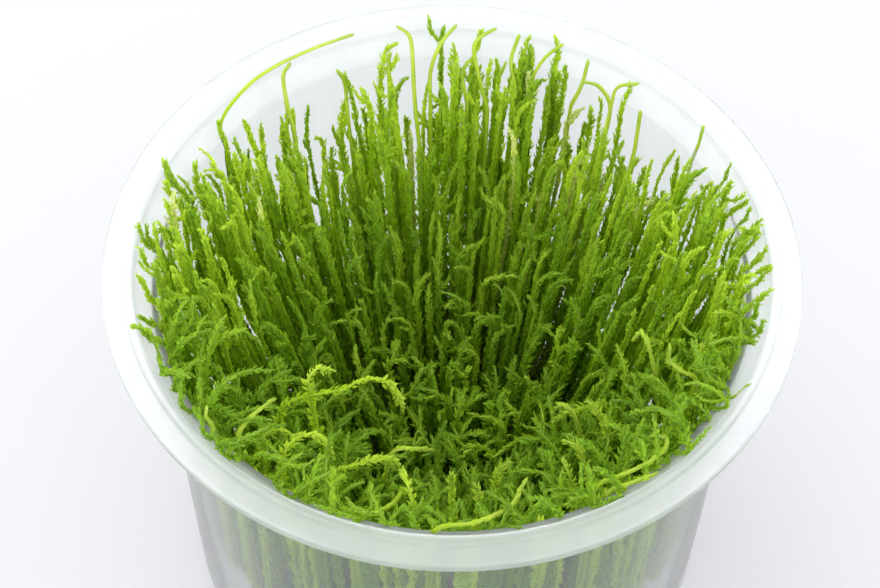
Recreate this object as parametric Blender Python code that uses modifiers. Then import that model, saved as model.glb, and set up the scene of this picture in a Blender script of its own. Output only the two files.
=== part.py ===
"""A moss clump standing in the culture cup it grew in, lid off, as a Blender model.

Metres, +Z up. The origin is the centre of the cup's flat underside. +Y is the back, where the
moss stands tallest. Each moss plant is one closed solid that runs from its root end on the cup
floor to its highest tip.
"""

import math
import random

import bpy
from mathutils import Vector

MM = 0.001

# The cup: one thin-walled moulding with a snap-lid flange. Radii are of the outer face.
RIM_HEIGHT = 72.0 * MM
FLANGE_RADIUS = 50.5 * MM
FLANGE_DROP = 1.0 * MM
FLANGE_EDGE = 1.5 * MM
LIP_RADIUS = 47.5 * MM
MOUTH_RADIUS = 46.2 * MM
STEP_RADIUS = 45.4 * MM
STEP_DROP = 2.6 * MM
NECK_RADIUS = 43.6 * MM
NECK_DROP = 5.0 * MM
BASE_RADIUS = 41.0 * MM
BASE_ROUNDING = 3.0 * MM
WALL = 0.8 * MM
FLOOR = 1.0 * MM
CUP_STEPS = 48

# The moss: rings of plants, each ring given by how many plants and its radius at rim height.
RINGS = ((3, 6.5 * MM), (9, 17.5 * MM), (15, 29.0 * MM), (21, 40.5 * MM))
PLANT_SPACING = 11.5 * MM
SPREAD_AT_FLOOR = 0.42
ROOTED_HEIGHT = 5.0 * MM
SPREAD_POWER = 1.8
SPREAD_POWER_AT_FRONT = 4.0
FRONT_WALL_START = 34.0 * MM
FRONT_WALL_BLEND = 8.0 * MM
GAP = 0.4 * MM
WALL_GAP = 1.0 * MM
TIP_RADIUS = 0.9 * MM
LEADER_RADIUS = 0.7 * MM
TIP_BELOW_RIM = 2.0 * MM
TAPER_LENGTH = 14.0 * MM
ROUTE_SHARES = (0.25, 0.45, 0.65, 0.8, 0.92, 1.0)
CRATER_RADIUS = 38.0 * MM
CRATER_RADIUS_AT_BACK = 32.5 * MM
CRATER_BLEND = 20.0 * MM
CRATER_DEPTH = 34.0 * MM
FRONT_DIP = 13.0 * MM
FRONT_DIP_WIDTH = 21.0 * MM
FRONT_DIP_START = 15.0 * MM
DEEPEST = 31.0 * MM
HEIGHT_VARIATION = 1.6 * MM
SEED = 7

# Leader shoots that outgrew the rest, met the lid and bent along it: (ring, plant) and the
# leader's own points in mm, with heights measured from the rim.
LEADERS = {
    (3, 8): ((-35.0, 24.5, -3.0), (-32.6, 29.0, 1.0), (-25.4, 36.2, 1.4), (-16.0, 41.4, 1.4)),
    (3, 7): ((-24.6, 31.5, -4.0), (-26.0, 33.2, 0.0)),
    (3, 6): ((-7.4, 38.0, -3.0), (-7.2, 41.6, 0.8), (-8.8, 43.4, 1.2)),
    (3, 5): ((-2.4, 40.4, -1.0), (-1.4, 42.4, 0.8), (0.2, 43.6, 1.2)),
    (3, 4): ((13.2, 38.0, -2.0), (14.4, 39.2, 0.8), (16.4, 40.8, 1.2)),
    (3, 3): ((24.8, 31.8, -2.0), (25.4, 32.4, 0.9), (28.0, 33.0, 1.2)),
    (3, 2): ((36.4, 22.0, -3.0), (37.4, 24.2, 1.2)),
    (2, 3): ((3.0, 32.0, 0.0), (4.0, 37.0, 1.6), (6.4, 41.0, 1.8)),
    (2, 2): ((16.6, 28.6, 0.0), (19.8, 33.0, 1.0)),
}


def clear_scene():
    for thing in list(bpy.data.objects):
        bpy.data.objects.remove(thing, do_unlink=True)


def collection_named(name):
    group = bpy.data.collections.new(name)
    bpy.context.scene.collection.children.link(group)
    return group


def plain_material(name, colour, roughness, transmission=0.0):
    material = bpy.data.materials.new(name)
    material.use_nodes = True
    shader = material.node_tree.nodes["Principled BSDF"]
    shader.inputs["Base Color"].default_value = (*colour, 1.0)
    shader.inputs["Roughness"].default_value = roughness
    shader.inputs["Metallic"].default_value = 0.0
    shader.inputs["Transmission Weight"].default_value = transmission
    return material


def arc(centre, radius, start, end, steps):
    """Points of an arc in the cup's half section, between two angles in degrees."""
    angles = [math.radians(start + (end - start) * i / steps) for i in range(steps + 1)]
    return [(centre[0] + radius * math.cos(a), centre[1] + radius * math.sin(a)) for a in angles]


def cup_half_section():
    """The cup's outline from the axis, up the inside, over the rim and down the outside."""
    inner_base = BASE_RADIUS - WALL
    inner_rounding = BASE_ROUNDING - WALL
    outline = [(0.0, FLOOR)]
    outline += arc((inner_base - inner_rounding, FLOOR + inner_rounding), inner_rounding, 270, 360, 3)
    outline += [
        (NECK_RADIUS - WALL, RIM_HEIGHT - NECK_DROP + WALL / 2),
        (STEP_RADIUS, RIM_HEIGHT - STEP_DROP),
        (MOUTH_RADIUS, RIM_HEIGHT - WALL / 2),
    ]
    outline += arc((LIP_RADIUS - WALL / 2, RIM_HEIGHT - WALL / 2), WALL / 2, 90, 0, 2)
    outline += [(LIP_RADIUS, RIM_HEIGHT - FLANGE_DROP)]
    outline += arc((FLANGE_RADIUS - WALL / 2, RIM_HEIGHT - FLANGE_DROP - WALL / 2), WALL / 2, 90, 0, 2)
    outline += [
        (FLANGE_RADIUS, RIM_HEIGHT - FLANGE_DROP - FLANGE_EDGE),
        (FLANGE_RADIUS - WALL, RIM_HEIGHT - FLANGE_DROP - FLANGE_EDGE),
        (FLANGE_RADIUS - WALL, RIM_HEIGHT - FLANGE_DROP - WALL),
        (STEP_RADIUS + WALL, RIM_HEIGHT - FLANGE_DROP - WALL),
        (STEP_RADIUS + WALL, RIM_HEIGHT - STEP_DROP),
        (NECK_RADIUS, RIM_HEIGHT - NECK_DROP),
    ]
    outline += arc((BASE_RADIUS - BASE_ROUNDING, BASE_ROUNDING), BASE_ROUNDING, 0, -90, 3)
    outline += [(0.0, 0.0)]
    return outline


def make_cup(group):
    """The cup: its half section turned once about the axis."""
    mesh = bpy.data.meshes.new("cup")
    outline = cup_half_section()
    edges = [(i, i + 1) for i in range(len(outline) - 1)]
    mesh.from_pydata([(r, 0.0, z) for r, z in outline], edges, [])
    cup = bpy.data.objects.new("cup", mesh)
    group.objects.link(cup)
    turn = cup.modifiers.new("turn", "SCREW")
    turn.axis = "Z"
    turn.steps = turn.render_steps = CUP_STEPS
    turn.use_merge_vertices = True
    turn.merge_threshold = 0.01 * MM
    turn.use_smooth_shade = True
    mesh.materials.append(plain_material("milky plastic", (0.86, 0.9, 0.89), 0.35, 0.6))
    return cup


def spread(height, x, y):
    """How far the plant laid out at x and y has fanned out at a height, as a share of its layout
    at the rim. Plants in front stand against the wall for most of its height."""
    frontward = min(1.0, max(0.0, -y / FRONT_DIP_START))
    at_wall = min(1.0, max(0.0, (math.hypot(x, y) - FRONT_WALL_START) / FRONT_WALL_BLEND))
    power = SPREAD_POWER + (SPREAD_POWER_AT_FRONT - SPREAD_POWER) * frontward * at_wall
    below_rim = min(1.0, (RIM_HEIGHT - height) / (RIM_HEIGHT - ROOTED_HEIGHT))
    return 1.0 - (1.0 - SPREAD_AT_FLOOR) * max(0.0, below_rim) ** power


def inner_wall(height):
    """Radius of the cup's inner face at a height under its neck."""
    t = height / (RIM_HEIGHT - NECK_DROP)
    return BASE_RADIUS - WALL + (NECK_RADIUS - BASE_RADIUS) * t


def plant_height(x, y, draw):
    """Nearly up to the rim by the wall, low in the middle and lowest just in front of it."""
    backward = min(1.0, max(0.0, 0.5 + y / CRATER_BLEND))
    crater = CRATER_RADIUS + (CRATER_RADIUS_AT_BACK - CRATER_RADIUS) * backward
    inward = max(0.0, 1.0 - (x * x + y * y) / crater**2)
    frontward = min(1.0, max(0.0, -y / FRONT_DIP_START)) * math.exp(-((x / FRONT_DIP_WIDTH) ** 2))
    depth = min(DEEPEST, CRATER_DEPTH * inward + FRONT_DIP * frontward)
    return RIM_HEIGHT - TIP_BELOW_RIM - depth + HEIGHT_VARIATION * draw.uniform(-1.0, 1.0)


def plant_radius(height, top, ring_radius, fanned):
    """Half the spacing at this height, kept off the wall, and tapering to the plant's tip."""
    room = fanned * PLANT_SPACING / 2 - GAP
    wall = inner_wall(min(height, RIM_HEIGHT - NECK_DROP))
    wall_room = wall - ring_radius * fanned - WALL_GAP
    taper = max(0.0, min(1.0, (top - height) / TAPER_LENGTH))
    return TIP_RADIUS + (min(room, wall_room) - TIP_RADIUS) * math.sqrt(taper)


def plant_route(ring_radius, angle, top):
    """Centre points and radii of one plant, from the cup floor to its tip."""
    x, y = ring_radius * math.cos(angle), ring_radius * math.sin(angle)
    root = FLOOR + GAP
    heights = [root, ROOTED_HEIGHT]
    heights += [root + (top - root) * share for share in ROUTE_SHARES]
    route = []
    for height in heights:
        fanned = spread(height, x, y)
        point = Vector((x * fanned, y * fanned, height))
        route.append((point, plant_radius(height, top, ring_radius, fanned)))
    return route


def make_plant(group, name, route, material):
    """One plant as a tapered tube along its route."""
    curve = bpy.data.curves.new(name, "CURVE")
    curve.dimensions = "3D"
    curve.bevel_depth = MM
    curve.bevel_resolution = 2
    curve.use_fill_caps = True
    spline = curve.splines.new("POLY")
    spline.points.add(len(route) - 1)
    for place, (point, radius) in zip(spline.points, route):
        place.co = (*point, 1.0)
        place.radius = radius / MM
    curve.materials.append(material)
    plant = bpy.data.objects.new(name, curve)
    group.objects.link(plant)
    return plant


def make_moss(group):
    """All the plants, ring by ring from the middle, those with a leader shoot drawn out along it."""
    draw = random.Random(SEED)
    material = plain_material("moss", (0.16, 0.36, 0.02), 0.6)
    number = 0
    for ring, (count, ring_radius) in enumerate(RINGS):
        for step in range(count):
            number += 1
            angle = math.radians(90.0) + 2 * math.pi * (step - count // 4) / count
            x, y = ring_radius * math.cos(angle), ring_radius * math.sin(angle)
            top = plant_height(x, y, draw)
            route = plant_route(ring_radius, angle, top)
            for px, py, pz in LEADERS.get((ring, step), ()):
                route.append((Vector((px * MM, py * MM, RIM_HEIGHT + pz * MM)), LEADER_RADIUS))
            make_plant(group, f"moss_plant_{number:02d}", route, material)


clear_scene()
clump = collection_named("moss clump")
make_cup(clump)
make_moss(clump)
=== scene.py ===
import math
from collections import namedtuple

import bpy
import numpy as np
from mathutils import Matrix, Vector


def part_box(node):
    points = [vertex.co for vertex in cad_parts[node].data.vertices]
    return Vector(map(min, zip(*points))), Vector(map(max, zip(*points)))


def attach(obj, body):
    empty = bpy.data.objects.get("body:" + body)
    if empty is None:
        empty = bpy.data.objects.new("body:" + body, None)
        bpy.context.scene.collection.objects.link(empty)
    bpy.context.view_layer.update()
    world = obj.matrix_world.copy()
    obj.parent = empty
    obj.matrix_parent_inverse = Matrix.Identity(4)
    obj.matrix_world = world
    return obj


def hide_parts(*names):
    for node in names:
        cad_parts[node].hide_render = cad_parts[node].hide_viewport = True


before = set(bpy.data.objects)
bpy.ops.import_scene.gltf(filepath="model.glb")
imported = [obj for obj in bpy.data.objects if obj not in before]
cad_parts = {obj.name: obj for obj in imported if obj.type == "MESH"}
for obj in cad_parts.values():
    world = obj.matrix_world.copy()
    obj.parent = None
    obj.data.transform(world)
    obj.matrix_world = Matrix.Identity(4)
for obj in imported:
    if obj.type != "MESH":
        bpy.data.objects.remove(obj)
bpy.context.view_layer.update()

# ---------------------------------------------------------------------------------------------
# Culture cup. One thin-walled moulding in milky polypropylene, open at the top, with a step that
# seats the lid, a rounded lip and a flat flange that the lid snaps over. Its outline is turned
# once about the axis, and every corner is rounded as a mould leaves it.
# ---------------------------------------------------------------------------------------------
MM = 0.001
CUP_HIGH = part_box("cup")[1]
RIM = CUP_HIGH.z
FLANGE_RADIUS = CUP_HIGH.x
LIP_RADIUS = FLANGE_RADIUS - 3.0 * MM
MOUTH_RADIUS = FLANGE_RADIUS - 4.3 * MM
STEP_RADIUS = FLANGE_RADIUS - 5.1 * MM
NECK_RADIUS = FLANGE_RADIUS - 6.9 * MM
BASE_RADIUS = FLANGE_RADIUS - 9.5 * MM
WALL = 0.8 * MM
FLOOR = 1.0 * MM
FLANGE_TOP = RIM - 1.0 * MM
STEP_HEIGHT = RIM - 2.6 * MM
NECK_HEIGHT = RIM - 5.0 * MM
FLANGE_EDGE = FLANGE_TOP - 1.5 * MM
CUP_STEPS = 160

# The cup's outline from the axis, up the inside, over the rim and down the outside, each corner
# given by its radius, its height and how much it is rounded.
CUP_CORNERS = (
    (0.0, FLOOR, 0.0),
    (BASE_RADIUS - WALL, FLOOR, 2.2 * MM),
    (NECK_RADIUS - WALL, NECK_HEIGHT + 0.4 * MM, 1.2 * MM),
    (STEP_RADIUS, STEP_HEIGHT, 0.5 * MM),
    (MOUTH_RADIUS, RIM, 0.35 * MM),
    (LIP_RADIUS, RIM, 0.5 * MM),
    (LIP_RADIUS, FLANGE_TOP, 0.3 * MM),
    (FLANGE_RADIUS, FLANGE_TOP, 0.45 * MM),
    (FLANGE_RADIUS, FLANGE_EDGE, 0.3 * MM),
    (FLANGE_RADIUS - WALL, FLANGE_EDGE, 0.2 * MM),
    (FLANGE_RADIUS - WALL, FLANGE_TOP - WALL, 0.2 * MM),
    (STEP_RADIUS + WALL, FLANGE_TOP - WALL, 0.3 * MM),
    (STEP_RADIUS + WALL, STEP_HEIGHT, 0.5 * MM),
    (NECK_RADIUS, NECK_HEIGHT, 1.5 * MM),
    (BASE_RADIUS, 0.0, 3.0 * MM),
    (0.0, 0.0, 0.0),
)


def rounded(corners, steps=4):
    """The outline through corners given as (radius, height, rounding), with an arc at each."""
    outline = []
    for i, (radius, height, rounding) in enumerate(corners):
        here = Vector((radius, height))
        if rounding == 0.0:
            outline.append(here)
            continue
        before = (Vector(corners[i - 1][:2]) - here).normalized()
        after = (Vector(corners[i + 1][:2]) - here).normalized()
        half = before.angle(after) / 2
        centre = here + (before + after).normalized() * (rounding / math.sin(half))
        reach = rounding / math.tan(half)
        start = here + before * reach - centre
        end = here + after * reach - centre
        first = math.atan2(start.y, start.x)
        turn = (math.atan2(end.y, end.x) - first + math.pi) % (2 * math.pi) - math.pi
        for step in range(steps + 1):
            angle = first + turn * step / steps
            outline.append(centre + Vector((math.cos(angle), math.sin(angle))) * rounding)
    return outline


def turned_cup():
    """The cup's outline turned about the axis."""
    outline = rounded(CUP_CORNERS)
    mesh = bpy.data.meshes.new("culture_cup")
    edges = [(i, i + 1) for i in range(len(outline) - 1)]
    mesh.from_pydata([(p.x, 0.0, p.y) for p in outline], edges, [])
    cup = bpy.data.objects.new("culture_cup", mesh)
    bpy.context.scene.collection.objects.link(cup)
    turn = cup.modifiers.new("turn", "SCREW")
    turn.axis = "Z"
    turn.steps = turn.render_steps = CUP_STEPS
    turn.use_merge_vertices = True
    turn.merge_threshold = 0.01 * MM
    turn.use_smooth_shade = True
    return cup


def noise(material, place, scale, detail):
    """A noise over the places given."""
    node = material.node_tree.nodes.new("ShaderNodeTexNoise")
    node.inputs["Scale"].default_value = scale
    node.inputs["Detail"].default_value = detail
    material.node_tree.links.new(place, node.inputs["Vector"])
    return node.outputs["Fac"]


def ramped(material, factor, stops):
    """A colour that runs through stops of (position, colour) as a factor rises."""
    node = material.node_tree.nodes.new("ShaderNodeValToRGB")
    elements = node.color_ramp.elements
    while len(elements) < len(stops):
        elements.new(0.5)
    for element, (position, colour) in zip(elements, stops):
        element.position = position
        element.color = (*colour, 1.0)
    material.node_tree.links.new(factor, node.inputs["Fac"])
    return node.outputs["Color"]


def mapped(material, factor, first, last, low, high):
    """A value that goes from low to high while a factor goes from first to last."""
    node = material.node_tree.nodes.new("ShaderNodeMapRange")
    node.inputs["From Min"].default_value = first
    node.inputs["From Max"].default_value = last
    node.inputs["To Min"].default_value = low
    node.inputs["To Max"].default_value = high
    material.node_tree.links.new(factor, node.inputs["Value"])
    return node.outputs["Result"]


def milky_plastic():
    """See-through plastic, frosted and milkier at the rim, with faint streaks down the wall."""
    material = bpy.data.materials.new("milky polypropylene")
    material.use_nodes = True
    nodes, links = material.node_tree.nodes, material.node_tree.links
    shader = nodes["Principled BSDF"]
    shader.inputs["IOR"].default_value = 1.13
    shader.inputs["Specular IOR Level"].default_value = 0.5

    place = nodes.new("ShaderNodeTexCoord")
    split = nodes.new("ShaderNodeSeparateXYZ")
    links.new(place.outputs["Object"], split.inputs["Vector"])
    height = split.outputs["Z"]
    frost_start = NECK_HEIGHT - 1 * MM
    clear = mapped(material, height, frost_start, STEP_HEIGHT, 0.94, 0.83)
    links.new(clear, shader.inputs["Transmission Weight"])

    stretch = nodes.new("ShaderNodeMapping")
    stretch.inputs["Scale"].default_value = (260.0, 260.0, 18.0)
    links.new(place.outputs["Object"], stretch.inputs["Vector"])
    streaks = noise(material, stretch.outputs["Vector"], 1.0, 3.0)
    tone = ramped(material, streaks, ((0.3, (0.84, 0.87, 0.86)), (0.75, (0.90, 0.92, 0.91))))
    links.new(tone, shader.inputs["Base Color"])

    frosted = mapped(material, height, frost_start, STEP_HEIGHT, 0.07, 0.55)
    haze = nodes.new("ShaderNodeMath")
    haze.operation = "MULTIPLY_ADD"
    haze.inputs[1].default_value = 0.10
    links.new(streaks, haze.inputs[0])
    links.new(frosted, haze.inputs[2])
    links.new(haze.outputs["Value"], shader.inputs["Roughness"])

    ripple = nodes.new("ShaderNodeBump")
    ripple.inputs["Strength"].default_value = 0.15
    ripple.inputs["Distance"].default_value = 0.1 * MM
    links.new(streaks, ripple.inputs["Height"])
    links.new(ripple.outputs["Normal"], shader.inputs["Normal"])
    return material


cup = turned_cup()
cup.data.materials.append(milky_plastic())
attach(cup, "root")
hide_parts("cup")

# ---------------------------------------------------------------------------------------------
# Moss plants. Each is a bundle of thin shoots that fan out from one root end on the cup's floor,
# and a shoot is a stem with small folded leaves set round it. At the back and sides the shoots are
# long and upright; in front they are short, with feathery tips that curl over a hollow.
# ---------------------------------------------------------------------------------------------
# How the shoots fan out between the floor and the rim. A shoot's layout is its place at the rim.
SPREAD_AT_FLOOR = 0.42
SPREAD_POWER = 1.8
SPREAD_POWER_AT_WALL = 4.0
FRONT_WALL_START = 34.0 * MM
FRONT_WALL_BLEND = 8.0 * MM
ROOTED_HEIGHT = 5.0 * MM
ROOT_END = 1.0 * MM
LAYOUT_LIMIT = 45.4 * MM
STRAND_LAYOUT = 46.2 * MM

# How many shoots a plant has, and how far they stand round it. Chance always falls the same way.
CHANCE_SEED = 11
SHOOTS_AT_WALL = 19
SHOOTS_IN_CRATER = 12
CRATER_PLANTS = 23.0 * MM
WALL_STRANDS = 5
PLANT_REACH = 6.6 * MM
GOLDEN_ANGLE = math.radians(137.508)
FULL_TURN = 6.28

# The room in the cup: how far stems and leaves keep off the plastic, the height from which they
# may reach out over the lip, and the lid's height and how flat it pressed what met it.
STEM_CLEARANCE = 0.6 * MM
LEAF_CLEARANCE = 0.15 * MM
OVER_LIP = RIM + 1.5 * MM
LID_HEIGHT = RIM + 1.2 * MM
LID_PRESS = 0.85

# The hollow that the tips leave.
CRATER_RADIUS = 38.0 * MM
CRATER_RADIUS_AT_BACK = 32.5 * MM
CRATER_BLEND = 20.0 * MM
CRATER_DEPTH = 34.0 * MM
FRONT_DIP = 13.0 * MM
FRONT_DIP_WIDTH = 21.0 * MM
FRONT_DIP_START = 15.0 * MM
FRONT_DIP_FADE = 7.0 * MM
LEAST_FRONT_DIP = 0.25
DEEPEST = 31.0 * MM

# A thick tall tuft at the back, thin places by their layout and their share of dead shoots, and
# the sparse growth along the back wall.
TUFT_CENTRE = (9.0 * MM, 38.0 * MM)
TUFT_RADIUS = 7.0 * MM
TUFT_EXTRA = 9
THIN_PLACES = (
    (-20.5 * MM, 34.0 * MM, 0.0),
    (17.5 * MM, 33.0 * MM, 0.35),
    (29.0 * MM, 27.0 * MM, 0.1),
)
THIN_RADIUS = 5.5 * MM
SPARSE_START = 31.0 * MM
SPARSE_SHARE = 0.72

# Where a shoot counts as one of the front, of the back, beside the wall, or deep in the hollow.
FRONT_START = 4.0 * MM
FRONT_BLEND = 14.0 * MM
BACK_START = 10.0 * MM
BACK_BLEND = 16.0 * MM
WALL_START = 40.0 * MM
WALL_BLEND = 4.0 * MM
DEEP = 17.0 * MM
SHALLOW = 12.0 * MM

# How shoots differ. The tallest end just below the rim, and chance takes some height off the
# others, in mm: more at the back, and most where they are stunted.
BELOW_RIM = 0.3 * MM
MOST_UNEVEN = 12.0 * MM
SHORTER_AT_BACK = (1, 15)
SHORTER_IF_STUNTED = (4, 11)
SHORTER_IN_TUFT = 2.0 * MM
STRAND_SHORTER = (5, 16)
STRAND_LOWER_AT_BACK = 12.0 * MM
HOOKED_SHARE = 0.22
SINGLE_DEAD_SHARE = 0.015

# How bright a shoot's green is, partly painted light and shade: it is darker down in the hollow
# and darker still in front, as painted shade, and lighter elsewhere as painted light, and a little
# brighter at the back. Strands and shoots that stand out have greens of their own, and dead shoots
# are pale.
DARK_TINT = (0.05, 0.36)
LIT_TINT = 0.36
SHADE_DEPTH = 30.0 * MM
STRAND_TINT = (0.68, 0.8)
SINGLE_TINT = (0.82, 0.9)
DEAD_TINT = 1.0

# How finely shoots are drawn. Leaves are set closely along the last stretch of a long shoot, and
# farther apart and larger below it.
PATH_STEPS = 18
RISE_STEPS = 16
CURL_STEP = 1.1 * MM
TWIG_STEPS = 6
STEM_SIDES = 4
FINE_LEAF_LENGTH = 34.0 * MM
LEAF_SPACING = 0.17 * MM
COARSE_SPACING = LEAF_SPACING * 2.4
COARSE_SIZE = 1.25
TIP_TAPER = 2.5 * MM

# A leaf's shape in shares of its length: where it is widest, half its width there, how far its
# edges lift and how far its tip droops.
LEAF_MIDDLE = 0.42
LEAF_HALF_WIDTH = 0.24
LEAF_LIFT = 0.08
LEAF_DROOP = 0.10

# How a shoot is clad: its stem's radius and how much of it is left at the tip, the length of its
# leaves and their lean from the stem, and the stretch of stem that has leaves.
Habit = namedtuple("Habit", "girth tip leaf lean first last")
UPRIGHT = Habit(0.30 * MM, 0.5, 1.35 * MM, 0.50, 0.10, 1.0)
FEATHERY = Habit(0.36 * MM, 0.5, 1.25 * MM, 0.80, 0.12, 1.0)
PRESSED = Habit(0.50 * MM, 0.6, 1.25 * MM, 0.30, 0.12, 1.0)
LEADER = Habit(0.44 * MM, 0.72, 1.0 * MM, 0.34, 0.10, 0.66)

# How a shoot's tip grows: its habit, then the least and most that chance gives for the tip's
# length in mm, how far it turns, the lean of its leaves and their length in mm. A tip turns
# outward, or inward over the hollow, or down in the hollow any way at all.
Growth = namedtuple("Growth", "habit length turn lean leaf inward")
CURLING = Growth(FEATHERY, (6, 13), (1.2, 3.1), (0.5, 0.85), (0.95, 1.35), math.pi)
SUNKEN = Growth(FEATHERY, (3, 7), (0.5, 2.0), (0.5, 0.8), (1.0, 1.3), None)
HOOKED = Growth(UPRIGHT, (3, 5), (1.1, 1.8), (0.35, 0.6), (1.1, 1.6), 0.0)
STRAIGHT = Growth(UPRIGHT, (3, 9), (0.1, 0.7), (0.35, 0.6), (1.1, 1.6), 0.0)
AIM_VARIATION = 0.9

# Side twigs, against the shoot they grow on: how thick they and their leaves are, where their
# leaves start, how far up the shoot they leave it, and their length in mm.
TWIG_GIRTH = 0.6
TWIG_LEAF = 0.8
TWIG_FIRST = 0.05
TWIG_PLACES = (0.6, 0.92)
TWIG_LENGTHS = (2.0, 5.0)
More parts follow.
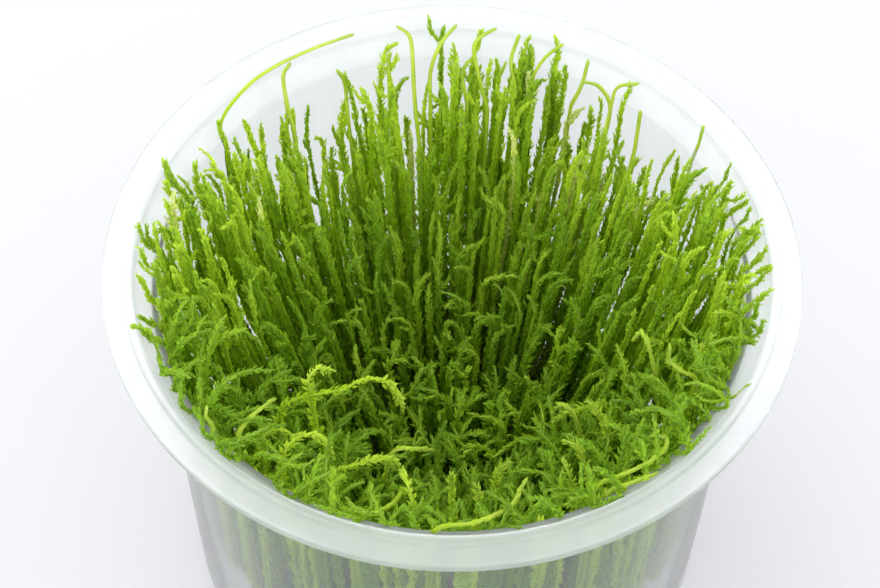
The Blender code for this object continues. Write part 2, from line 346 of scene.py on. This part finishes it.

# Shoots that stand out, each given as points in mm, with heights from the rim. They belong to the
# plant nearest their foot. The first ones are leaders, which outgrew the others and bent where they
# met the lid. The rest curl over the hollow or lie along the front rim.
SINGLE_SHOOTS = (
    (LEADER, (-36.2, 25.6, -8.0), (-34.9, 26.4, -1.0), (-31.8, 30.6, 0.8), (-28.4, 34.0, 1.4),
     (-25.2, 36.4, 1.6), (-20.7, 39.2, 1.4), (-15.9, 41.6, 1.4)),
    (LEADER, (-24.7, 29.4, -6.0), (-25.5, 30.8, -2.5), (-26.1, 33.6, 0.4), (-25.2, 35.6, 1.0)),
    (LEADER, (-5.2, 31.5, -14.0), (-6.1, 34.9, -6.0), (-6.6, 40.2, -0.5), (-7.2, 42.0, 1.0),
     (-8.8, 43.4, 1.2)),
    (LEADER, (-3.7, 35.8, -7.0), (-3.7, 38.2, -3.0), (-2.3, 40.5, 0.5), (0.0, 43.8, 1.2)),
    (LEADER, (5.2, 34.8, -8.0), (3.9, 37.4, -4.0), (2.9, 40.0, 0.0), (3.8, 41.6, 1.0),
     (6.1, 43.3, 1.2)),
    (LEADER, (9.4, 37.3, -5.0), (8.7, 39.8, -2.0), (9.8, 42.1, 1.0)),
    (LEADER, (10.9, 34.5, -10.0), (12.0, 38.3, -5.0), (13.9, 39.5, -1.0), (16.4, 40.4, 1.0)),
    (LEADER, (18.2, 35.9, -8.0), (19.6, 35.9, -3.0), (20.4, 37.9, 0.0)),
    (LEADER, (21.2, 27.6, -18.0), (22.5, 29.2, -13.0), (24.1, 33.4, -6.0), (22.3, 34.5, -2.0),
     (19.9, 33.8, 0.0)),
    (LEADER, (22.4, 28.4, -12.0), (24.0, 32.6, -5.0), (24.8, 33.2, -0.5), (27.7, 32.7, 1.0)),
    (LEADER, (36.8, 24.0, -4.0), (37.3, 24.4, 1.0)),
    (LEADER, (27.8, 27.2, -8.0), (28.2, 28.8, -1.0)),
    (LEADER, (-16.5, 34.5, -9.0), (-17.0, 36.5, -4.0), (-18.0, 37.0, -2.0)),
    (LEADER, (-10.0, 37.0, -9.0), (-10.2, 39.0, -2.5), (-10.0, 39.5, -0.5)),
    (LEADER, (2.0, 36.0, -8.0), (1.2, 37.6, -3.0), (2.0, 38.6, -1.2)),
    (FEATHERY, (-25.0, -19.4, -20.0), (-24.2, -19.4, -12.0), (-22.4, -19.2, -9.0),
     (-19.4, -18.9, -8.0), (-15.5, -17.6, -8.4), (-11.9, -16.0, -8.0), (-8.6, -14.4, -12.0),
     (-6.9, -13.8, -19.0)),
    (FEATHERY, (-19.6, -19.0, -14.0), (-19.8, -18.8, -8.0), (-20.2, -18.0, -5.5),
     (-18.8, -16.4, -5.0), (-16.8, -14.8, -8.0)),
    (PRESSED, (-27.9, -28.5, -14.0), (-28.8, -29.1, -10.0), (-29.4, -29.0, -6.0),
     (-28.9, -27.4, -4.0), (-27.0, -25.4, -3.0), (-24.8, -22.5, -4.0)),
    (FEATHERY, (-25.7, -27.2, -16.0), (-26.5, -28.3, -10.0), (-26.3, -28.3, -6.0),
     (-25.2, -27.1, -5.0), (-23.6, -26.0, -6.0), (-22.1, -25.6, -9.0)),
    (FEATHERY, (-23.1, -31.1, -14.0), (-23.2, -30.9, -8.0), (-22.7, -30.1, -5.0),
     (-20.9, -28.6, -4.0), (-18.9, -27.6, -5.0), (-17.3, -27.1, -8.0), (-16.7, -27.2, -11.0)),
    (LEADER, (-32.5, -27.1, -8.0), (-32.9, -27.5, -3.0), (-33.6, -27.5, -1.0), (-33.5, -26.7, 0.0)),
    (FEATHERY, (-18.3, -31.4, -16.0), (-17.3, -30.9, -12.0), (-16.2, -30.5, -10.0),
     (-13.9, -30.1, -9.0), (-11.6, -28.6, -10.0), (-8.9, -26.8, -12.0), (-7.3, -26.2, -15.0)),
    (FEATHERY, (-4.7, -38.0, -12.0), (-4.9, -36.5, -9.0), (-5.8, -33.4, -8.0),
     (-6.8, -30.0, -10.0)),
    (PRESSED, (-6.8, -29.5, -16.0), (-7.0, -33.0, -12.0), (-8.1, -35.7, -10.0),
     (-10.2, -38.2, -8.0), (-12.5, -37.9, -8.0), (-14.3, -34.7, -10.0)),
    (PRESSED, (-9.2, -26.3, -18.0), (-8.1, -25.1, -13.0), (-4.9, -24.7, -12.6),
     (-2.5, -23.4, -15.0)),
    (PRESSED, (-3.0, -43.4, -6.0), (-1.0, -43.6, -2.4), (2.9, -42.6, -3.0), (6.2, -40.6, -4.0),
     (8.5, -38.4, -5.0), (9.6, -36.3, -4.6), (10.4, -35.0, -4.0)),
    (FEATHERY, (0.5, -31.5, -20.0), (0.4, -30.7, -14.0), (0.3, -30.5, -10.0)),
    (FEATHERY, (4.4, -31.1, -20.0), (4.2, -31.2, -14.0), (3.6, -30.8, -12.0)),
    (FEATHERY, (6.8, -23.5, -26.0), (7.2, -23.5, -20.0), (8.8, -22.7, -19.0)),
    (FEATHERY, (20.2, -27.1, -18.0), (19.1, -26.9, -12.0), (17.9, -26.2, -9.0),
     (15.9, -25.2, -9.0)),
    (PRESSED, (19.7, -18.1, -22.0), (18.3, -19.0, -14.0), (17.3, -19.0, -11.0),
     (16.1, -18.6, -10.0), (15.2, -18.0, -12.0)),
    (FEATHERY, (23.4, -17.6, -20.0), (21.3, -18.6, -12.0), (19.5, -17.9, -10.0)),
    (PRESSED, (19.0, -38.4, -12.0), (19.3, -36.9, -6.0), (20.4, -35.6, -4.0), (23.8, -34.4, -3.0),
     (26.2, -33.4, -2.5), (28.6, -31.8, -2.0), (29.7, -30.1, -2.0), (29.1, -29.0, -2.0),
     (27.8, -28.2, -3.0)),
    (PRESSED, (19.8, -38.2, -10.0), (21.4, -36.9, -4.0), (25.0, -36.3, -2.0), (27.8, -35.3, -1.5)),
    (FEATHERY, (18.1, -29.5, -20.0), (17.5, -30.3, -14.0), (16.8, -29.6, -11.0),
     (15.9, -27.6, -10.0)),
    (PRESSED, (30.4, -15.3, -14.0), (29.0, -14.4, -7.0), (28.0, -13.2, -3.0), (27.0, -11.5, -2.0),
     (26.0, -11.5, -3.4)),
    (PRESSED, (35.5, -17.9, -10.0), (34.5, -17.2, -5.0), (32.7, -16.7, -4.0), (30.9, -15.6, -3.0),
     (30.7, -14.6, -1.0)),
    (FEATHERY, (35.4, -14.6, -9.0), (35.2, -14.1, -5.0), (35.5, -13.1, -3.0), (37.1, -11.7, -2.0)),
    (FEATHERY, (32.2, -15.8, -14.0), (32.4, -18.1, -9.0), (33.4, -18.8, -8.6),
     (34.7, -18.3, -10.0)),
    (PRESSED, (38.0, -21.2, -9.0), (38.6, -21.4, -5.0), (39.9, -21.9, -2.0), (41.6, -22.2, 0.6)),
)


def root_of(node):
    """Middle of a plant's root end, read off its CAD solid."""
    places = np.array([vertex.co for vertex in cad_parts[node].data.vertices])
    return places[places[:, 2] < places[:, 2].min() + ROOT_END].mean(axis=0)


def spread(height, x, y):
    """How far a shoot laid out at x and y has fanned out at a height, as a share of its layout at
    the rim. Strands, and shoots in front, stand against the wall for most of its height."""
    reach = math.hypot(x, y)
    frontward = 1.0 if reach > LAYOUT_LIMIT else min(1.0, max(0.0, -y / FRONT_DIP_START))
    at_wall = min(1.0, max(0.0, (reach - FRONT_WALL_START) / FRONT_WALL_BLEND))
    power = SPREAD_POWER + (SPREAD_POWER_AT_WALL - SPREAD_POWER) * frontward * at_wall
    below_rim = np.clip((RIM - height) / (RIM - ROOTED_HEIGHT), 0.0, 1.0)
    return 1.0 - (1.0 - SPREAD_AT_FLOOR) * below_rim**power


def held_in(places, clearance=STEM_CLEARANCE):
    """The places pushed in from the wall, its step and lip, and down from the lid."""
    wall = np.interp(
        places[:, 2],
        (0.0, NECK_HEIGHT, STEP_HEIGHT, RIM, OVER_LIP),
        (BASE_RADIUS - WALL, NECK_RADIUS - WALL, STEP_RADIUS, MOUTH_RADIUS, LIP_RADIUS),
    )
    reach = np.hypot(places[:, 0], places[:, 1])
    share = np.minimum(1.0, (wall - clearance) / np.maximum(reach, 1e-9))
    places[:, :2] *= share[:, None]
    places[:, 2] -= np.maximum(places[:, 2] - LID_HEIGHT, 0.0) * LID_PRESS
    return places


def depth_at(x, y):
    """How far the moss stands below the rim: a crater, lowest just in front of its middle."""
    backward = np.clip(0.5 + y / CRATER_BLEND, 0.0, 1.0)
    crater = CRATER_RADIUS + (CRATER_RADIUS_AT_BACK - CRATER_RADIUS) * backward
    inward = max(0.0, 1.0 - (x * x + y * y) / crater**2)
    frontward = min(1.0, max(0.0, -y / FRONT_DIP_START)) * math.exp(-((x / FRONT_DIP_WIDTH) ** 2))
    off_wall = np.clip((LAYOUT_LIMIT - math.hypot(x, y)) / FRONT_DIP_FADE, LEAST_FRONT_DIP, 1.0)
    return min(DEEPEST, CRATER_DEPTH * inward + FRONT_DIP * frontward * off_wall)


def thinned_at(x, y):
    """How far the shoots are stunted at a place, from 0 to 1, and the share of dead ones there."""
    stunted, dead = 0.0, 0.0
    for thin_x, thin_y, share in THIN_PLACES:
        off = math.hypot(x - thin_x, y - thin_y) / THIN_RADIUS
        stunted = max(stunted, math.exp(-(off**4)))
        dead = max(dead, share * math.exp(-(off**4)))
    return stunted, dead


def tuft_at(x, y):
    """1 in the thick tall tuft at the back, falling to 0 round it."""
    off = math.hypot(x - TUFT_CENTRE[0], y - TUFT_CENTRE[1]) / TUFT_RADIUS
    return math.exp(-off * off)


def fanned(foot, root_height, top, draw):
    """An upright path from the root end up to a height, swaying a little on the way."""
    heights = np.linspace(root_height, top, PATH_STEPS)
    path = np.empty((len(heights), 3))
    path[:, 2] = heights
    share = heights / RIM
    for axis in (0, 1):
        waves = draw.uniform(1.0, 2.4)
        size = draw.uniform(0.3, 1.1) * MM
        sway = size * np.sin(waves * math.pi * share + draw.uniform(0, FULL_TURN))
        path[:, axis] = foot[axis] * spread(heights, *foot) + sway * share
    return path


def curled(path, length, turn, towards, draw):
    """The path with its tip carried on, bending by an angle towards a compass direction."""
    steps = max(4, int(length / CURL_STEP))
    ahead = path[-1] - path[-2]
    ahead /= np.linalg.norm(ahead)
    level = np.array((math.cos(towards), math.sin(towards), 0.0))
    aside = level - ahead * (level @ ahead)
    aside /= np.linalg.norm(aside)
    places = [path[-1]]
    power = draw.uniform(0.8, 1.6)
    for step in range(1, steps + 1):
        angle = turn * (step / steps) ** power
        bent = ahead * math.cos(angle) + aside * math.sin(angle)
        places.append(places[-1] + bent * length / steps)
    return np.vstack((path, places[1:]))


def smooth_through(points, steps):
    """A smooth curve through points, by Catmull-Rom."""
    ends = np.vstack((2 * points[0] - points[1], points, 2 * points[-1] - points[-2]))
    places = []
    for i in range(len(points) - 1):
        a, b, c, d = ends[i:i + 4]
        for t in np.linspace(0, 1, steps, endpoint=False):
            bend = (2 * a - 5 * b + 4 * c - d) * t * t + (3 * b - a - 3 * c + d) * t**3
            places.append(0.5 * (2 * b + (c - a) * t + bend))
    places.append(points[-1])
    return np.array(places)


def single_path(points, root_height):
    """A single shoot's path: fanned out like any other up to its first point, then through all
    of its points."""
    route = np.array(points) * MM
    route[:, 2] += RIM
    foot = route[0, :2] / spread(route[0, 2], *route[0, :2])
    heights = np.linspace(root_height, route[0, 2], RISE_STEPS)[:-2]
    fan = spread(heights, *foot)
    rise = np.column_stack((foot[0] * fan, foot[1] * fan, heights))
    return np.vstack((rise, smooth_through(route, 4)))


def directions(path, across):
    """Unit vectors along a path, and to its side and front, for setting leaves round it."""
    along = np.gradient(path, axis=0)
    along /= np.linalg.norm(along, axis=1)[:, None]
    side = across - along * (along @ across)[:, None]
    side /= np.maximum(np.linalg.norm(side, axis=1), 1e-9)[:, None]
    return along, side, np.cross(along, side)


def lengths_along(path):
    return np.concatenate(([0.0], np.cumsum(np.linalg.norm(np.diff(path, axis=0), axis=1))))


def stem_mesh(path, across, radius, share):
    """A stem round its path, closed to a point at both ends."""
    along, side, front = directions(path, across)
    turns = np.arange(STEM_SIDES) * (2 * math.pi / STEM_SIDES)
    ring = np.cos(turns)[:, None] * side[:, None] + np.sin(turns)[:, None] * front[:, None]
    verts = (path[:, None] + radius[:, None, None] * ring).reshape(-1, 3)
    ends = np.array((path[0] - along[0] * radius[0], path[-1] + along[-1] * radius[-1] * 1.5))
    count = len(path)
    low = np.arange(count - 1)[:, None] * STEM_SIDES
    here = np.arange(STEM_SIDES)
    after = (here + 1) % STEM_SIDES
    first = np.stack((low + here, low + after, low + after + STEM_SIDES), axis=-1)
    second = np.stack((low + here, low + after + STEM_SIDES, low + here + STEM_SIDES), axis=-1)
    last = (count - 1) * STEM_SIDES
    root = np.full(STEM_SIDES, count * STEM_SIDES)
    foot = np.stack((after, here, root), axis=-1)
    point = np.stack((last + here, last + after, root + 1), axis=-1)
    faces = np.vstack((first.reshape(-1, 3), second.reshape(-1, 3), foot, point))
    height = np.concatenate((np.repeat(share, STEM_SIDES), (share[0], share[-1])))
    edge = np.concatenate((np.tile(np.linspace(0.0, 0.15, STEM_SIDES), count), (0.07, 0.07)))
    return np.vstack((verts, ends)), faces, height, edge


def leaf_mesh(path, across, share, habit, draw):
    """Folded two-sided leaves round a path: each has a foot on the stem, two edges and a tip."""
    along, side, front = directions(path, across)
    reach = lengths_along(path)
    start, stop = habit.first * reach[-1], habit.last * reach[-1]
    knee = max(start, reach[-1] - FINE_LEAF_LENGTH)
    coarse, fine = np.arange(start, knee, COARSE_SPACING), np.arange(knee, stop, LEAF_SPACING)
    at = np.concatenate((coarse, fine))
    count = len(at)
    at = at + draw.uniform(-0.4, 0.4, count) * LEAF_SPACING

    def read(values):
        return np.column_stack([np.interp(at, reach, values[:, axis]) for axis in range(3)])

    foot, ahead, aside, afore = read(path), read(along), read(side), read(front)
    turn = np.arange(count) * GOLDEN_ANGLE + draw.uniform(0, FULL_TURN)
    turn += draw.uniform(-0.5, 0.5, count)
    out = np.cos(turn)[:, None] * aside + np.sin(turn)[:, None] * afore
    tangent = np.cross(ahead, out)
    to_tip = np.minimum(1.0, (reach[-1] - at) / TIP_TAPER)
    size = habit.leaf * draw.uniform(0.6, 1.25, count) * (0.65 + 0.35 * to_tip)
    size *= np.where(at < knee, COARSE_SIZE, 1.0)
    angle = habit.lean * draw.uniform(0.45, 1.5, count)
    blade = ahead * np.cos(angle)[:, None] + out * np.sin(angle)[:, None]
    lift = np.cross(tangent, blade)
    middle = foot + blade * (size * LEAF_MIDDLE)[:, None] + lift * (size * LEAF_LIFT)[:, None]
    half = tangent * (size * LEAF_HALF_WIDTH)[:, None]
    tip = foot + blade * size[:, None] - lift * (size * LEAF_DROOP)[:, None]
    verts = np.stack((foot, middle - half, middle + half, tip), axis=1).reshape(-1, 3)
    first = np.arange(count)[:, None] * 4
    faces = np.vstack((first + (0, 1, 3), first + (0, 3, 2)))
    height = np.interp(at, reach, share)
    rise = size / reach[-1] * (share[-1] - share[0])
    heights = np.stack((height, height, height, height + rise), axis=1).reshape(-1)
    return verts, faces, np.minimum(heights, 1.0), np.tile((0.2, 0.55, 0.55, 0.95), count)


def clad(path, across, habit, draw, low_share=0.0):
    """The stem and leaves of one shoot or twig."""
    reach = lengths_along(path)
    share = low_share + (1.0 - low_share) * reach / reach[-1]
    radius = habit.girth * (1.0 - (1.0 - habit.tip) * reach / reach[-1])
    return [stem_mesh(path, across, radius, share), leaf_mesh(path, across, share, habit, draw)]


def twig_path(path, at, across, length, draw):
    """A short side twig that leaves a shoot and turns up towards its tip."""
    along, side, front = directions(path, across)
    turn = draw.uniform(0, FULL_TURN)
    out = math.cos(turn) * side[at] + math.sin(turn) * front[at]
    angles = np.linspace(draw.uniform(0.9, 1.2), draw.uniform(0.1, 0.5), TWIG_STEPS)
    steps = along[at] * np.cos(angles)[:, None] + out * np.sin(angles)[:, None]
    return np.vstack((path[at], path[at] + np.cumsum(steps * length / TWIG_STEPS, axis=0)))


def shoot(foot, root_height, draw):
    """One shoot of a plant: its height, curl, leaves and twigs follow from where it stands."""
    x, y = foot
    outward = math.atan2(y, x)
    depth = depth_at(x, y)
    front = np.clip((-FRONT_START - y) / FRONT_BLEND, 0.0, 1.0)
    beside_wall = np.clip((math.hypot(x, y) - WALL_START) / WALL_BLEND, 0.0, 1.0)
    back = np.clip((y - BACK_START) / BACK_BLEND, 0.0, 1.0) * (1.0 - tuft_at(x, y))
    uneven = min(draw.exponential((1.6 + 2.6 * front) * MM), MOST_UNEVEN)
    uneven *= 1.0 - 0.6 * beside_wall
    stunted, dead = thinned_at(x, y)
    uneven += back * draw.uniform(*SHORTER_AT_BACK) * MM + SHORTER_IN_TUFT * tuft_at(x, y)
    uneven += stunted * draw.uniform(*SHORTER_IF_STUNTED) * MM
    if draw.uniform() < front:
        growth = CURLING
    elif depth > DEEP:
        growth = SUNKEN
    else:
        growth = HOOKED if draw.uniform() < HOOKED_SHARE else STRAIGHT
    length = draw.uniform(*growth.length) * MM
    turn = draw.uniform(*growth.turn)
    if growth is SUNKEN:
        towards = draw.uniform(0, FULL_TURN)
    else:
        towards = outward + growth.inward + draw.normal(0, AIM_VARIATION)
    lean = draw.uniform(*growth.lean)
    habit = growth.habit._replace(lean=lean, leaf=draw.uniform(*growth.leaf) * MM)
    top = RIM - BELOW_RIM - depth - uneven - (0.6 - 0.25 * beside_wall * front) * length
    path = held_in(curled(fanned(foot, root_height, top, draw), length, turn, towards, draw))
    across = np.array((-math.sin(towards), math.cos(towards), 0.0))
    parts = clad(path, across, habit, draw)
    twig_girth, twig_leaf = habit.girth * TWIG_GIRTH, habit.leaf * TWIG_LEAF
    twig_habit = habit._replace(girth=twig_girth, leaf=twig_leaf, first=TWIG_FIRST)
    for _ in range(draw.integers(0, 2 + round(front))):
        at = int(len(path) * draw.uniform(*TWIG_PLACES))
        twig = held_in(twig_path(path, at, across, draw.uniform(*TWIG_LENGTHS) * MM, draw))
        parts += clad(twig, across, twig_habit, draw, at / len(path))
    # Painted shade darkens shoots in front and in the hollow; the rest get painted light.
    shaded = max(0.8 * front, min(0.5, depth / SHADE_DEPTH))
    tint_and_shade = draw.uniform(*DARK_TINT) + LIT_TINT * (1.0 - shaded) + 0.05 * back
    if draw.uniform() < dead + SINGLE_DEAD_SHARE * (y > 0) * (depth < SHALLOW):
        tint_and_shade = DEAD_TINT
    return tint_and_shade, parts


def strand(bearing, root_height, draw):
    """A leafy strand pressed against the wall, well short of the rim."""
    foot = STRAND_LAYOUT * np.array((math.cos(bearing), math.sin(bearing)))
    backward = np.clip(foot[1] / CRATER_BLEND, 0.0, 1.0)
    top = RIM - draw.uniform(*STRAND_SHORTER) * MM - STRAND_LOWER_AT_BACK * backward
    path = held_in(fanned(foot, root_height, top, draw))
    across = np.array((-foot[1], foot[0], 0.0)) / STRAND_LAYOUT
    habit = PRESSED._replace(leaf=draw.uniform(1.4, 2.4) * MM, lean=draw.uniform(0.3, 0.6))
    return draw.uniform(*STRAND_TINT), clad(path, across, habit, draw)


def single_shoot(habit, points, root_height, draw):
    """A shoot that stands out, along its own points."""
    path = single_path(points, root_height)
    start, rest = path[RISE_STEPS], path[RISE_STEPS + 1:]
    bearing = rest[np.argmax(np.linalg.norm(rest - start, axis=1))] - start
    across = np.array((-bearing[1], bearing[0], 0.0)) / math.hypot(bearing[0], bearing[1])
    return draw.uniform(*SINGLE_TINT), clad(path, across, habit, draw)


def joined(name, shoots):
    """One mesh of a plant's shoots, with leaves pressed flat where they meet the wall. Each shoot
    has its own column of the OFBake map."""
    verts, faces, shares, edges, tints_and_shades, columns = [], [], [], [], [], []
    start = 0
    for column, (tint_and_shade, parts) in enumerate(shoots):
        for places, triangles, share, edge in parts:
            verts.append(held_in(places, LEAF_CLEARANCE))
            faces.append(triangles + start)
            shares.append(share)
            edges.append(edge)
            tints_and_shades.append(np.full(len(places), tint_and_shade))
            columns.append((column + 0.05 + 0.9 * edge) / len(shoots))
            start += len(places)
    verts, faces = np.vstack(verts), np.vstack(faces)
    mesh = bpy.data.meshes.new(name)
    mesh.from_pydata(verts.tolist(), [], faces.tolist())
    for label, values in (("along", shares), ("edge", edges), ("tint_and_shade", tints_and_shades)):
        layer = mesh.attributes.new(label, "FLOAT", "POINT")
        layer.data.foreach_set("value", np.concatenate(values).astype(np.float32))
    bake = mesh.uv_layers.new(name="OFBake")
    places = np.column_stack((np.concatenate(columns), np.concatenate(shares)))[faces.reshape(-1)]
    bake.uv.foreach_set("vector", places.astype(np.float32).reshape(-1))
    mesh.shade_smooth()
    plant = bpy.data.objects.new(name, mesh)
    bpy.context.scene.collection.objects.link(plant)
    return plant


def moss_green():
    """Leafy green: brown at the root, yellow-green near the tip, painted shade in the hollow and
    front.
    """
    material = bpy.data.materials.new("moss")
    material.use_nodes = True
    nodes, links = material.node_tree.nodes, material.node_tree.links
    shader = nodes["Principled BSDF"]
    shader.inputs["Specular IOR Level"].default_value = 0.14

    def attribute(label):
        node = nodes.new("ShaderNodeAttribute")
        node.attribute_name = label
        return node.outputs["Fac"]

    def toned(first, second):
        node = nodes.new("ShaderNodeMix")
        node.data_type = "RGBA"
        node.blend_type = "MULTIPLY"
        node.inputs["Factor"].default_value = 1.0
        links.new(first, node.inputs["A"])
        links.new(second, node.inputs["B"])
        return node.outputs["Result"]

    along, edge, tint_and_shade = attribute("along"), attribute("edge"), attribute("tint_and_shade")
    growth = ramped(material, along, (
        (0.00, (0.34, 0.26, 0.10)),
        (0.20, (0.30, 0.36, 0.05)),
        (0.50, (0.33, 0.52, 0.02)),
        (0.78, (0.42, 0.62, 0.025)),
        (0.93, (0.48, 0.66, 0.05)),
        (1.00, (0.40, 0.58, 0.05)),
    ))
    # Painted shade and light for most shoots; strands, standing-out and dead shoots keep their own
    # colour.
    shade = ramped(material, tint_and_shade, (
        (0.00, (0.48, 0.66, 0.6)),
        (0.40, (0.80, 0.92, 0.8)),
        (0.76, (1.48, 1.34, 1.4)),
        (0.82, (1.14, 1.12, 1.1)),
        (0.90, (1.26, 1.18, 1.5)),
        (DEAD_TINT, (1.8, 1.4, 6.0)),
    ))
    spot = nodes.new("ShaderNodeCombineXYZ")
    links.new(tint_and_shade, spot.inputs["X"])
    links.new(along, spot.inputs["Y"])
    links.new(edge, spot.inputs["Z"])
    mottle = noise(material, spot.outputs["Vector"], 24.0, 2.0)
    patches = ramped(material, mottle, ((0.3, (0.84, 0.88, 0.7)), (0.7, (1.12, 1.08, 1.2))))
    bright = ramped(material, edge, (
        (0.00, (1.10, 1.0, 1.8)),
        (0.16, (1.10, 1.0, 1.8)),
        (0.20, (0.85, 0.88, 0.8)),
        (0.95, (1.15, 1.12, 1.1)),
    ))
    colour = toned(toned(toned(growth, shade), patches), bright)
    links.new(colour, shader.inputs["Base Color"])
    damp = mapped(material, mottle, 0.0, 1.0, 0.38, 0.62)
    links.new(damp, shader.inputs["Roughness"])

    glow = nodes.new("ShaderNodeBsdfTranslucent")
    links.new(colour, glow.inputs["Color"])
    leafy = nodes.new("ShaderNodeMixShader")
    leafy.inputs["Fac"].default_value = 0.55
    links.new(shader.outputs["BSDF"], leafy.inputs[1])
    links.new(glow.outputs["BSDF"], leafy.inputs[2])
    links.new(leafy.outputs["Shader"], nodes["Material Output"].inputs["Surface"])
    return material


draw = np.random.default_rng(CHANCE_SEED)
moss = moss_green()
plant_nodes = sorted(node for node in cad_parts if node.startswith("moss_plant_"))
roots = {node: root_of(node) for node in plant_nodes}
layout = {node: root[:2] / SPREAD_AT_FLOOR for node, root in roots.items()}

singles_of = {node: [] for node in plant_nodes}
for habit, *points in SINGLE_SHOOTS:
    first = np.array(points[0]) * MM
    foot = first[:2] / spread(RIM + first[2], *first[:2])
    nearest = min(plant_nodes, key=lambda node: np.linalg.norm(layout[node] - foot))
    singles_of[nearest].append((habit, points))

for node in plant_nodes:
    root_height = roots[node][2]
    middle = layout[node]
    count = SHOOTS_IN_CRATER if np.linalg.norm(middle) <= CRATER_PLANTS else SHOOTS_AT_WALL
    count += round(TUFT_EXTRA * tuft_at(*middle))
    shoots = []
    for number in range(count):
        out = PLANT_REACH * math.sqrt((number + 0.5) / count)
        turn = number * GOLDEN_ANGLE + draw.uniform(-0.4, 0.4)
        foot = middle + out * np.array((math.cos(turn), math.sin(turn)))
        foot *= min(1.0, LAYOUT_LIMIT / np.linalg.norm(foot))
        if foot[1] > SPARSE_START and draw.uniform() > SPARSE_SHARE + tuft_at(*foot):
            continue
        shoots.append(shoot(foot, root_height, draw))
    if np.linalg.norm(middle) > FRONT_WALL_START:
        for _ in range(WALL_STRANDS):
            bearing = math.atan2(middle[1], middle[0]) + draw.uniform(-0.15, 0.15)
            shoots.append(strand(bearing, root_height, draw))
    for habit, points in singles_of[node]:
        shoots.append(single_shoot(habit, points, root_height, draw))
    plant = joined(node.replace("plant", "shoots"), shoots)
    plant.data.materials.append(moss)
    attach(plant, "root")
    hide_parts(node)

# ---------------------------------------------------------------------------------------------
# Floor. A plain pale sheet under the cup, wide enough to fill every view. It gives off a little
# light of its own, so that the cup's shadow stays faint.
# ---------------------------------------------------------------------------------------------
FLOOR_SIDE = 6.0
FLOOR_SQUARES = 8


def pale_floor():
    bpy.ops.mesh.primitive_grid_add(
        x_subdivisions=FLOOR_SQUARES, y_subdivisions=FLOOR_SQUARES, size=FLOOR_SIDE
    )
    floor = bpy.context.object
    floor.name = "floor"
    material = bpy.data.materials.new("pale floor")
    material.use_nodes = True
    nodes, links = material.node_tree.nodes, material.node_tree.links
    shader = nodes["Principled BSDF"]
    shader.inputs["Roughness"].default_value = 0.7
    shader.inputs["Specular IOR Level"].default_value = 0.2
    grain = nodes.new("ShaderNodeTexNoise")
    grain.inputs["Scale"].default_value = 3.0
    pale = ((0.0, (0.285, 0.285, 0.295)), (1.0, (0.295, 0.295, 0.305)))
    links.new(ramped(material, grain.outputs["Fac"], pale), shader.inputs["Base Color"])
    shader.inputs["Emission Color"].default_value = (0.97, 0.97, 1.0, 1.0)
    shader.inputs["Emission Strength"].default_value = 0.38
    floor.data.materials.append(material)
    return floor


pale_floor()

# ---------------------------------------------------------------------------------------------
# Studio light. A bright even surround and one broad soft light overhead, a little behind and to
# the left, so that the shadow falls softly in front and to the right.
# ---------------------------------------------------------------------------------------------
SURROUND_STRENGTH = 1.95
SOFTBOX_SIZE = 0.7
SOFTBOX_POWER = 3.0
SOFTBOX_PLACE = Vector((-0.35, 0.3, 0.9))
SOFTBOX_AIM = Vector((0.0, 0.0, 0.05))


def studio_light():
    world = bpy.data.worlds.new("studio")
    world.use_nodes = True
    sky = world.node_tree.nodes["Background"]
    sky.inputs["Color"].default_value = (0.97, 0.98, 1.0, 1.0)
    sky.inputs["Strength"].default_value = SURROUND_STRENGTH
    bpy.context.scene.world = world

    lamp = bpy.data.lights.new("softbox", "AREA")
    lamp.shape = "DISK"
    lamp.size = SOFTBOX_SIZE
    lamp.energy = SOFTBOX_POWER
    softbox = bpy.data.objects.new("softbox", lamp)
    softbox.location = SOFTBOX_PLACE
    softbox.rotation_euler = (SOFTBOX_AIM - SOFTBOX_PLACE).to_track_quat("-Z", "Y").to_euler()
    bpy.context.scene.collection.objects.link(softbox)


studio_light()
bpy.context.scene.view_settings.view_transform = "Standard"

# ---------------------------------------------------------------------------------------------
# Camera. It looks down into the cup from the front, tilted a little to one side. Its target is on
# the moss, just below the rim.
# ---------------------------------------------------------------------------------------------
CAMERA_ELEVATION = math.radians(53.74)
CAMERA_DISTANCE = 350 * MM
CAMERA_TARGET = Vector((-1.72 * MM, 0.0, RIM - 9.1 * MM))
CAMERA_ROLL = math.radians(0.89)
CAMERA_LENS = 97.4


def viewing_camera():
    data = bpy.data.cameras.new("camera")
    data.lens = CAMERA_LENS
    data.clip_start = 0.01
    camera = bpy.data.objects.new("camera", data)
    back = Vector((0.0, -math.cos(CAMERA_ELEVATION), math.sin(CAMERA_ELEVATION)))
    camera.location = CAMERA_TARGET + back * CAMERA_DISTANCE
    camera.rotation_euler = (math.pi / 2 - CAMERA_ELEVATION, 0.0, 0.0)
    camera.rotation_euler.rotate_axis("Z", CAMERA_ROLL)
    bpy.context.scene.collection.objects.link(camera)
    bpy.context.scene.camera = camera


viewing_camera()
